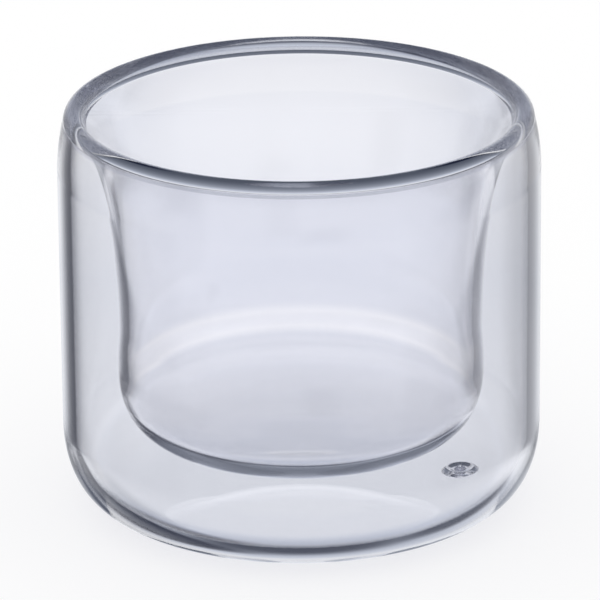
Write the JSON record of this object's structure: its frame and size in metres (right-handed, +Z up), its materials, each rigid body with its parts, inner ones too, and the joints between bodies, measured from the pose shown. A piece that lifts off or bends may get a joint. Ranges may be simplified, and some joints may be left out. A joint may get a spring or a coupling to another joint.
{
  "type": "double walled glass cup",
  "caption": "Small straight-sided glass cup with a flared inner bowl fused at the rim to an outer shell round a sealed air gap.",
  "frame": {"origin": "centre of the base, on the surface the cup stands on", "axes": "+Z up along the axis of the cup; the vent seal lies 8.5 degrees from +X towards +Y; the picture looks along +Y"},
  "size_m": [0.07, 0.07, 0.06],
  "materials": {
    "blown_glass": "clear blown borosilicate glass, smooth on both sides",
    "fused_glass": "clear borosilicate glass, melted and fire polished"
  },
  "bodies": {
    "root": {"outer_shell": "blown_glass", "inner_bowl": "blown_glass", "rim_weld": "fused_glass", "vent_seal": "fused_glass"}
  },
  "joints": []
}
